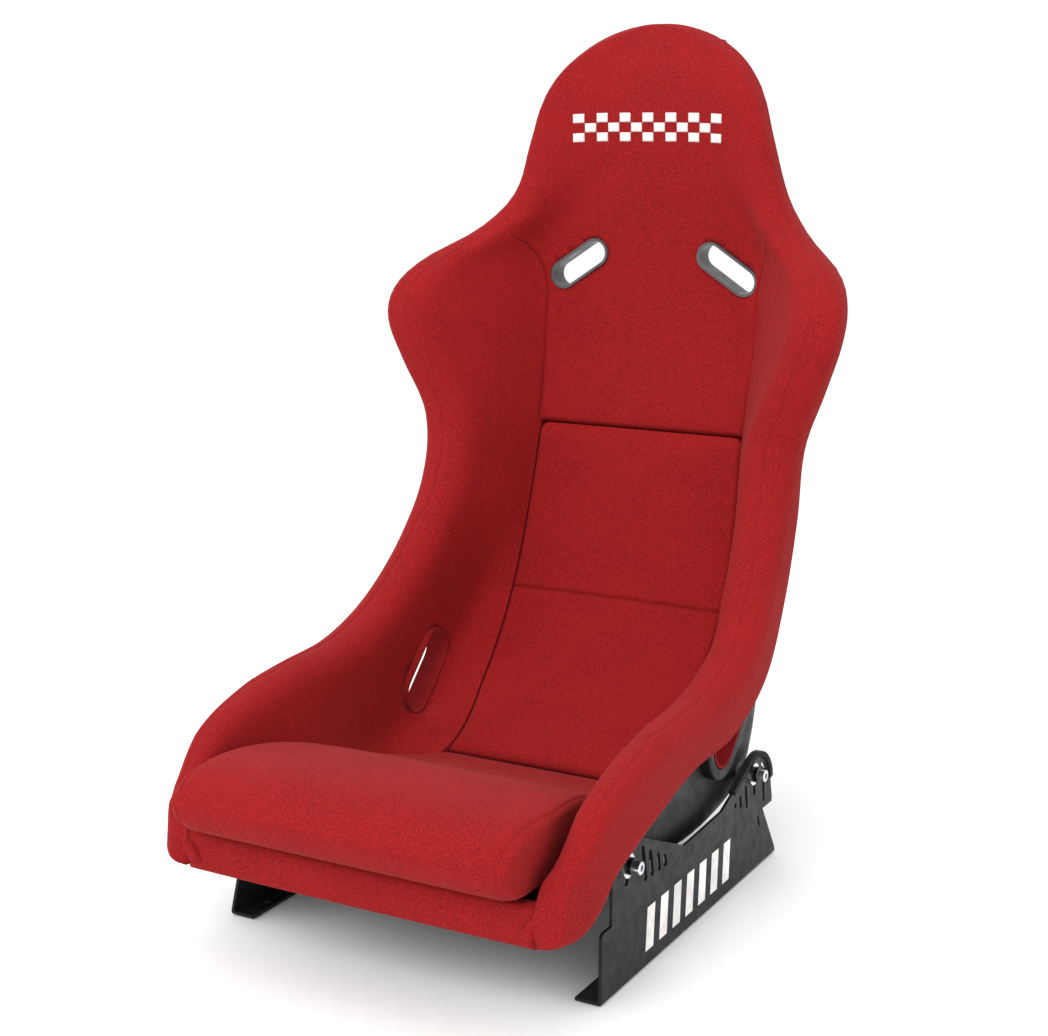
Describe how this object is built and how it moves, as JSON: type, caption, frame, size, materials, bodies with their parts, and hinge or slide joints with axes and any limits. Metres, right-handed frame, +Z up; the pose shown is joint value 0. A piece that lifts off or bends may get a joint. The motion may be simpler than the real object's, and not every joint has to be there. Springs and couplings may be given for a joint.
{
  "type": "racing seat",
  "caption": "Fixed-back bucket racing seat in red velour on black folded steel side mounts, with harness and lap-belt slots.",
  "frame": {"origin": "centre of the four floor-bolt holes, on the underside of the side mounts' floor flanges", "axes": "+Z up, the seat faces -Y, +X to the right as seen from in front, which is the occupant's left"},
  "size_m": [0.5516, 0.6843, 0.9115],
  "materials": {
    "shell_grp": "semi-gloss moulded glass-reinforced plastic, charcoal",
    "velour": "short-pile red velour",
    "velour_edge": "red velour turned over the slot edge",
    "bezel_plastic": "satin dark grey moulded plastic",
    "mount_steel": "black fine-texture powder coat",
    "guard_rubber": "ribbed black rubber",
    "zinc_steel": "bright zinc-plated steel",
    "black_steel": "black oxide",
    "spacer_aluminium": "turned aluminium",
    "insert_steel": "plain steel",
    "hook_tape": "black hook-and-loop tape",
    "badge_thread": "white embroidery thread"
  },
  "bodies": {
    "root": {"side_mount_left": "mount_steel", "side_mount_right": "mount_steel", "mount_edge_guard_left": "guard_rubber", "mount_edge_guard_right": "guard_rubber"},
    "seat": {"seat_shell": "shell_grp", "side_bolster_left": "velour", "side_bolster_right": "velour", "front_lip_pad": "velour", "headrest_pad": "velour", "upper_back_pad": "velour", "harness_bezel_left": "bezel_plastic", "harness_bezel_right": "bezel_plastic", "belt_slot_trim_left": "velour_edge", "belt_slot_trim_right": "velour_edge", "mount_bolts": "zinc_steel", "bolt_washers": "zinc_steel", "bolt_collars": "black_steel", "shell_spacers": "spacer_aluminium", "threaded_inserts": "insert_steel", "cushion_hook_strips": "hook_tape", "head_badge": "badge_thread"},
    "lumbar_cushion": {"lumbar_cushion_upper": "velour", "lumbar_cushion_lower": "velour"},
    "seat_cushion": {"seat_cushion": "velour"}
  },
  "joints": [
    {"name": "seat_tilt", "type": "hinge", "parent": "root", "child": "seat", "pos_m": [0, 0.163, 0.108], "axis": [1, 0, 0], "range_deg": [-1, 3]},
    {"name": "cushion_lift", "type": "slide", "parent": "seat", "child": "seat_cushion", "axis": [0, -0.2588, 0.9659], "range_m": [0, 0.15]},
    {"name": "lumbar_pull", "type": "slide", "parent": "seat", "child": "lumbar_cushion", "axis": [0, -0.9426, 0.3338], "range_m": [0, 0.08]}
  ]
}
